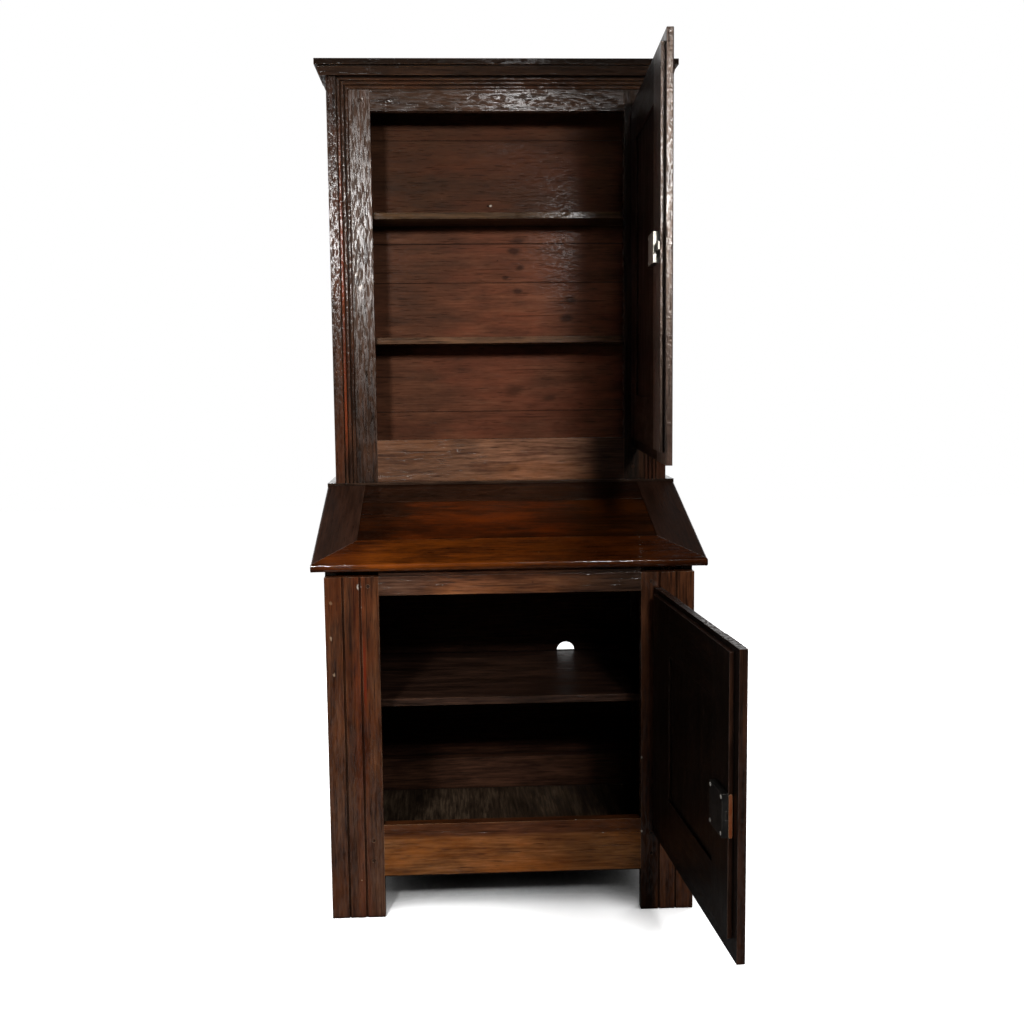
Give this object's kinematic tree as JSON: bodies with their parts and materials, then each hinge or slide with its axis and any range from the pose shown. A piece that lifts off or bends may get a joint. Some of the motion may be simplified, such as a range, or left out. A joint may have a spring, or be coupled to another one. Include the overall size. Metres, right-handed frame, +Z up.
{
  "type": "court cupboard",
  "caption": "Two-stage panelled court cupboard: a shelved upper case with one door above a sloping board, and a wider lower case with a shelf and one door.",
  "frame": {"origin": "on the floor at the centre line of the cupboard, in the plane of the lower case's front face", "axes": "+Z up, +Y towards the back, +X to the viewer's right; the front faces -Y and both doors stand open"},
  "size_m": [0.886, 1.2711, 1.981],
  "materials": {
    "dark_varnished_oak": "worn gloss varnish",
    "unpolished_inner_wood": "dull",
    "red_brown_back_boards": "dull",
    "worn_glossy_top": "glossy",
    "dark_moulding": "worn gloss varnish",
    "dark_door_oak": "satin",
    "peg_wood": "satin",
    "black_iron": "dull",
    "bright_steel": "worn bright"
  },
  "bodies": {
    "case": {"lower_left_front_stile": "dark_varnished_oak", "lower_right_front_stile": "dark_varnished_oak", "lower_top_rail": "dark_varnished_oak", "lower_bottom_rail": "dark_varnished_oak", "lower_left_rear_post": "dark_varnished_oak", "lower_right_rear_post": "dark_varnished_oak", "lower_rear_bottom_rail": "dark_varnished_oak", "lower_left_side_top_rail": "dark_varnished_oak", "lower_right_side_top_rail": "dark_varnished_oak", "lower_left_side_bottom_rail": "dark_varnished_oak", "lower_right_side_bottom_rail": "dark_varnished_oak", "lower_left_side_panel": "dark_varnished_oak", "lower_right_side_panel": "dark_varnished_oak", "upper_left_front_stile": "dark_varnished_oak", "upper_right_front_stile": "dark_varnished_oak", "upper_top_rail": "dark_varnished_oak", "upper_bottom_rail": "dark_varnished_oak", "upper_left_side": "dark_varnished_oak", "upper_right_side": "dark_varnished_oak", "upper_top_board": "dark_varnished_oak", "lower_floor_boards": "unpolished_inner_wood", "lower_bearers": "unpolished_inner_wood", "lower_shelf_front_board": "unpolished_inner_wood", "lower_shelf_rear_board": "unpolished_inner_wood", "upper_floor_board": "unpolished_inner_wood", "upper_shelf_lower": "unpolished_inner_wood", "upper_shelf_higher": "unpolished_inner_wood", "upper_shelf_cleats": "unpolished_inner_wood", "lower_back_boards": "red_brown_back_boards", "upper_back_boards": "red_brown_back_boards", "slope_front_rail": "worn_glossy_top", "slope_back_rail": "worn_glossy_top", "slope_left_stile": "worn_glossy_top", "slope_right_stile": "worn_glossy_top", "slope_panel": "worn_glossy_top", "flat_top_board": "worn_glossy_top", "side_reeded_mouldings": "dark_moulding", "top_reeded_moulding": "dark_moulding", "cornice_front": "dark_moulding", "cornice_left_return": "dark_moulding", "cornice_right_return": "dark_moulding", "case_pegs": "peg_wood", "hinge_frame_leaves": "black_iron", "hinge_pins": "black_iron"},
    "upper_door": {"upper_door_hinge_stile": "dark_door_oak", "upper_door_free_stile": "dark_door_oak", "upper_door_top_rail": "dark_door_oak", "upper_door_bottom_rail": "dark_door_oak", "upper_door_panel": "dark_door_oak", "upper_hinge_door_leaves": "black_iron", "upper_lock_case": "bright_steel"},
    "lower_door": {"lower_door_hinge_stile": "dark_door_oak", "lower_door_free_stile": "dark_door_oak", "lower_door_top_rail": "dark_door_oak", "lower_door_bottom_rail": "dark_door_oak", "lower_door_panel": "dark_door_oak", "lower_hinge_door_leaves": "black_iron", "lower_lock_case": "black_iron"},
    "upper_bolt": {"upper_lock_bolt": "bright_steel"},
    "lower_bolt": {"lower_lock_bolt": "black_iron"}
  },
  "joints": [
    {"name": "upper_door_swing", "type": "hinge", "parent": "case", "child": "upper_door", "pos_m": [0.3389, 0.4197, 1.4576], "axis": [0, 0, 1], "range_deg": [-87.1, 32.9]},
    {"name": "lower_door_swing", "type": "hinge", "parent": "case", "child": "lower_door", "pos_m": [0.3231, -0.0043, 0.464], "axis": [0, 0, 1], "range_deg": [-93.8, 26.2]},
    {"name": "upper_bolt_slide", "type": "slide", "parent": "upper_door", "child": "upper_bolt", "axis": [-0.0506, -0.9987, 0], "range_m": [0, 0.012]},
    {"name": "lower_bolt_slide", "type": "slide", "parent": "lower_door", "child": "lower_bolt", "axis": [0.0663, -0.9978, 0], "range_m": [0, 0.012]}
  ]
}
